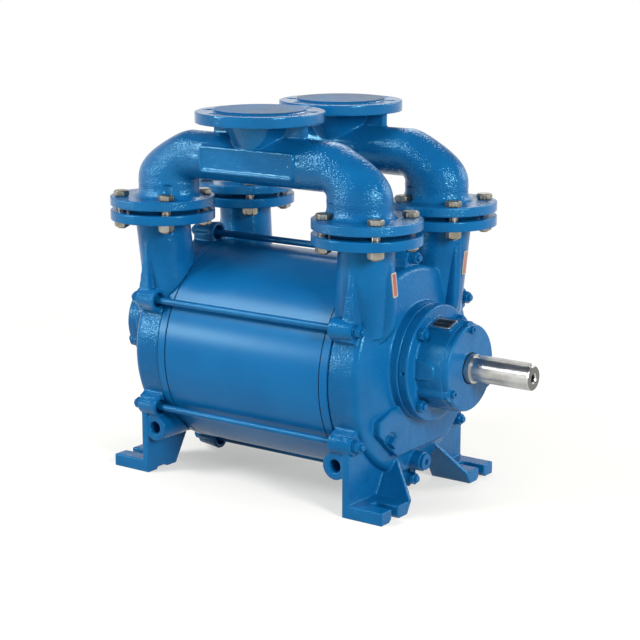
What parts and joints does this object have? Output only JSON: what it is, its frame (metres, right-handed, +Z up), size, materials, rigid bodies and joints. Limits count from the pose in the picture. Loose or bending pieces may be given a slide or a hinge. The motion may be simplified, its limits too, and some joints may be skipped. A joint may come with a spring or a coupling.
{
  "type": "liquid ring vacuum pump",
  "caption": "Liquid ring vacuum pump with round casing between two end covers on feet, overhead suction and discharge manifolds, and a keyed drive shaft.",
  "frame": {"origin": "on the floor, in the middle of the four holding-down slots", "axes": "+X along the shaft out of the drive end, +Y to the rear, +Z up"},
  "size_m": [0.8235, 0.4564, 0.662],
  "materials": {
    "blue_paint": "gloss",
    "cast_blue_paint": "gloss over rough casting",
    "zinc_fastener": "yellow zinc",
    "bright_steel": "ground",
    "black_steel": "oiled",
    "black_rubber": "matt",
    "gasket_fibre": "matt",
    "bronze": "cast and turned",
    "seal_carbon": "lapped",
    "pale_blanking": "satin"
  },
  "bodies": {
    "root": {"casing": "blue_paint", "casing_gaskets": "gasket_fibre", "port_plate_drive_end": "blue_paint", "port_plate_free_end": "blue_paint", "cover_gaskets": "gasket_fibre", "end_cover_drive_end": "cast_blue_paint", "end_cover_free_end": "cast_blue_paint", "square_drain_plugs": "cast_blue_paint", "round_sump_plugs": "cast_blue_paint", "tie_rods": "blue_paint", "tie_rod_washers": "blue_paint", "tie_rod_nuts": "blue_paint", "front_manifold": "cast_blue_paint", "rear_manifold": "cast_blue_paint", "front_blanking_disc": "pale_blanking", "rear_blanking_disc": "pale_blanking", "flange_gaskets": "gasket_fibre", "flange_bolts": "zinc_fastener", "flange_nuts": "zinc_fastener", "seal_seats": "seal_carbon", "bearing_outer_races": "bright_steel", "bearing_housing_drive_end": "cast_blue_paint", "bearing_housing_free_end": "cast_blue_paint", "housing_studs": "blue_paint", "housing_nuts": "blue_paint", "bearing_cap_drive_end": "cast_blue_paint", "bearing_cap_free_end": "cast_blue_paint", "shaft_lip_seal": "black_rubber", "bearing_cap_screws": "blue_paint"},
    "rotor": {"shaft": "bright_steel", "shaft_key": "bright_steel", "impeller": "bronze", "impeller_key": "bright_steel", "shaft_sleeves": "bright_steel", "seal_rings": "seal_carbon", "seal_springs": "bright_steel", "bearing_inner_races": "bright_steel", "bearing_lock_nuts": "black_steel", "flingers": "black_rubber"},
    "drive_ball_cage": {"ball_cage_drive_end": "black_steel"},
    "free_ball_cage": {"ball_cage_free_end": "black_steel"}
  },
  "joints": [
    {"name": "shaft_spin", "type": "hinge", "parent": "root", "child": "rotor", "pos_m": [0, 0, 0.24], "axis": [1, 0, 0], "continuous": true},
    {"name": "drive_cage_spin", "type": "hinge", "parent": "root", "child": "drive_ball_cage", "pos_m": [0.3105, 0, 0.24], "axis": [1, 0, 0], "continuous": true},
    {"name": "free_cage_spin", "type": "hinge", "parent": "root", "child": "free_ball_cage", "pos_m": [-0.3105, 0, 0.24], "axis": [1, 0, 0], "continuous": true}
  ],
  "couplings": [
    {"joint": "drive_cage_spin", "follows": "shaft_spin", "ratio": 0.382},
    {"joint": "free_cage_spin", "follows": "shaft_spin", "ratio": 0.382}
  ]
}
